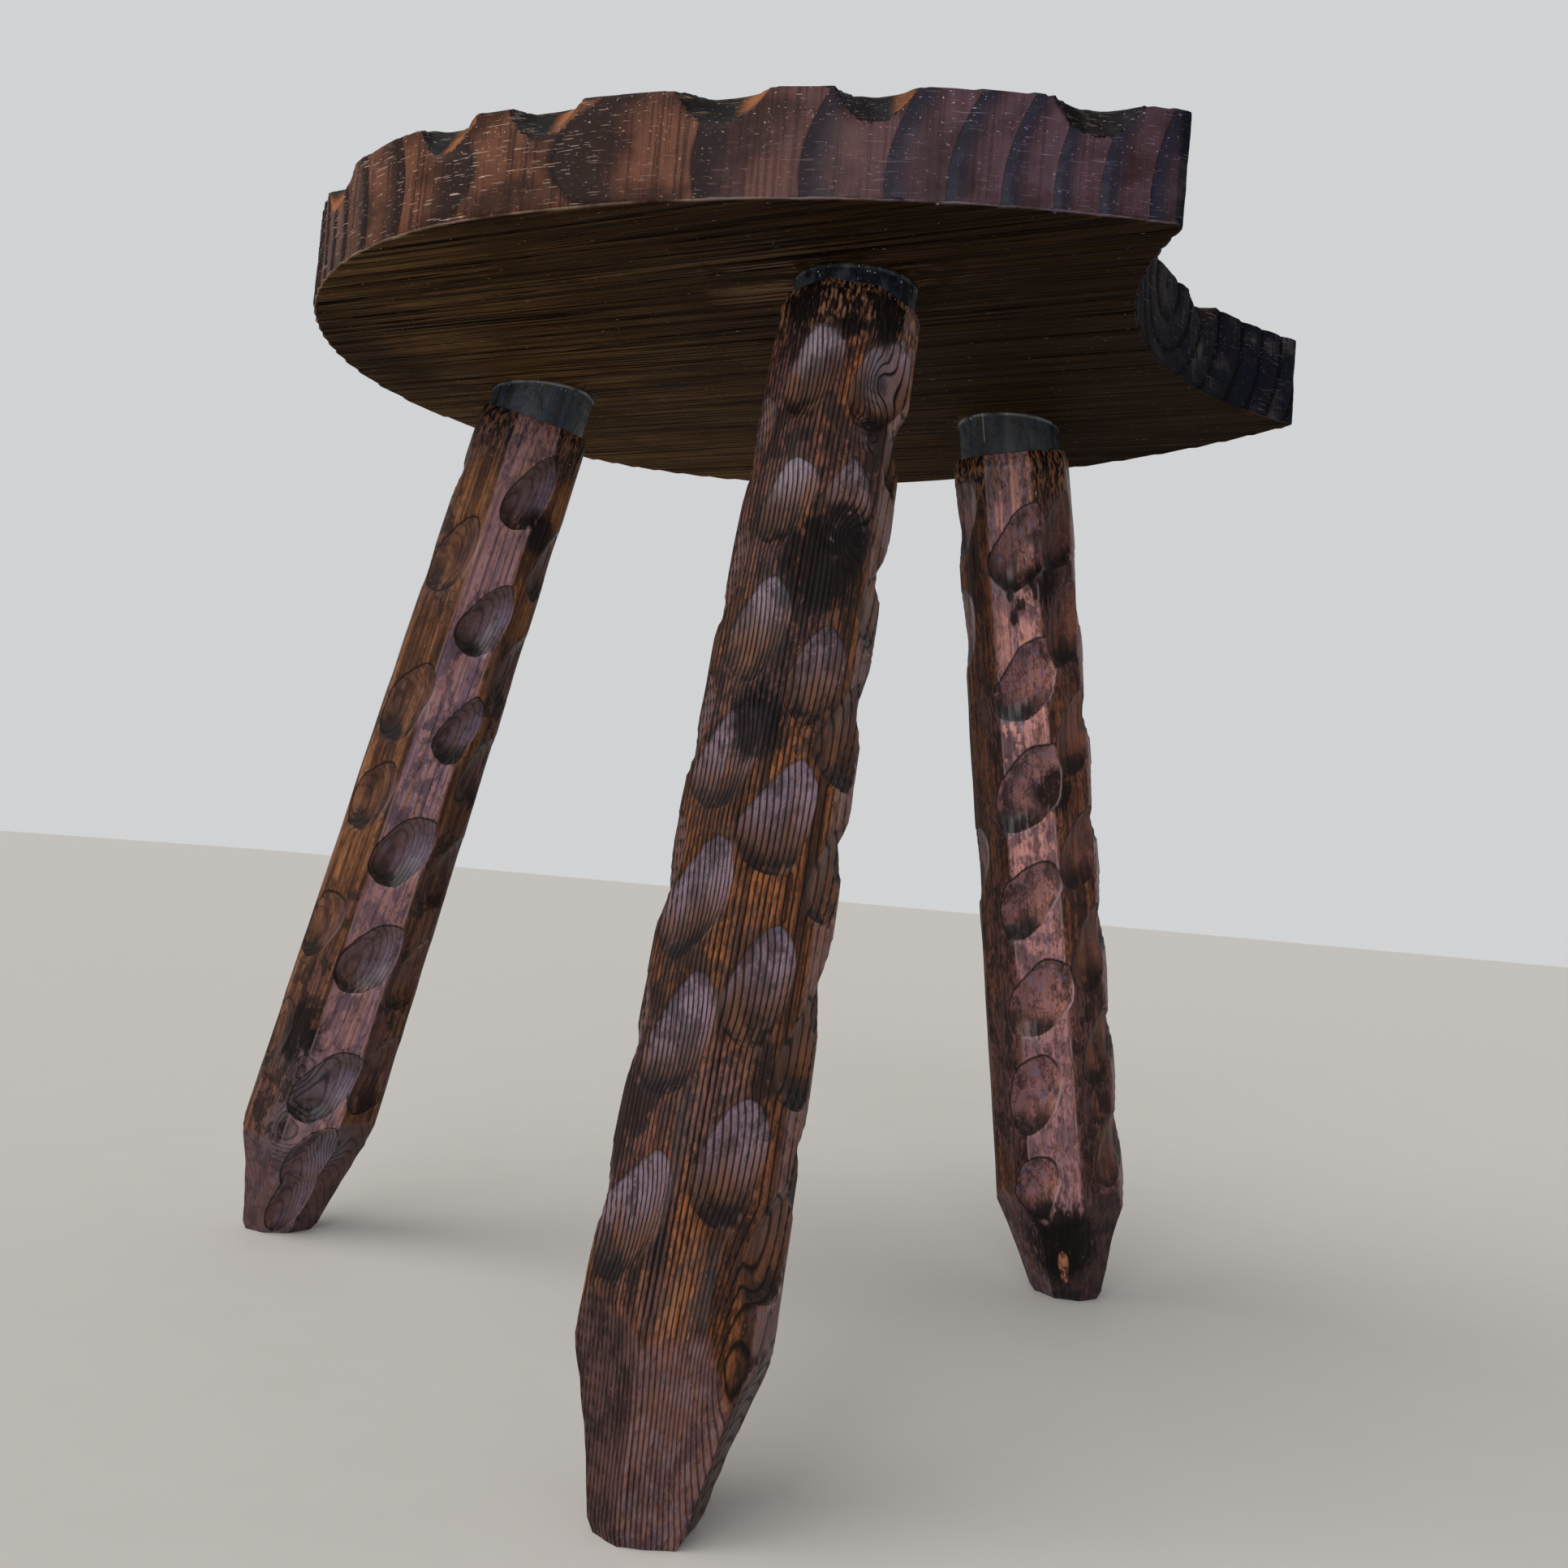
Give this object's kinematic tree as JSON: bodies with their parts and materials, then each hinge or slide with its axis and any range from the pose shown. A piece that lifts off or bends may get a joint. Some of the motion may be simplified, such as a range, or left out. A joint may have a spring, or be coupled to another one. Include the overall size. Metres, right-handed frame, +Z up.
{
  "type": "three-legged stool",
  "caption": "Rustic wooden stool: a horseshoe seat board with scooped edges on splayed, gouge-carved legs with black collars.",
  "frame": {"origin": "middle of the stool's box, on the floor under the feet", "axes": "+Z up from the floor through the seat, +X along the seat's grain towards the notched end, +Y to the left of that"},
  "size_m": [0.4112, 0.3624, 0.399],
  "materials": {
    "seat_wood": "brushed softwood with a dark walnut stain and satin varnish",
    "leg_wood": "brushed softwood with a reddish dark stain and satin varnish",
    "black_sleeve": "satin black sleeve"
  },
  "bodies": {
    "root": {"seat": "seat_wood", "round_end_leg": "leg_wood", "notch_left_leg": "leg_wood", "notch_right_leg": "leg_wood", "round_end_collar": "black_sleeve", "notch_left_collar": "black_sleeve", "notch_right_collar": "black_sleeve"}
  },
  "joints": []
}
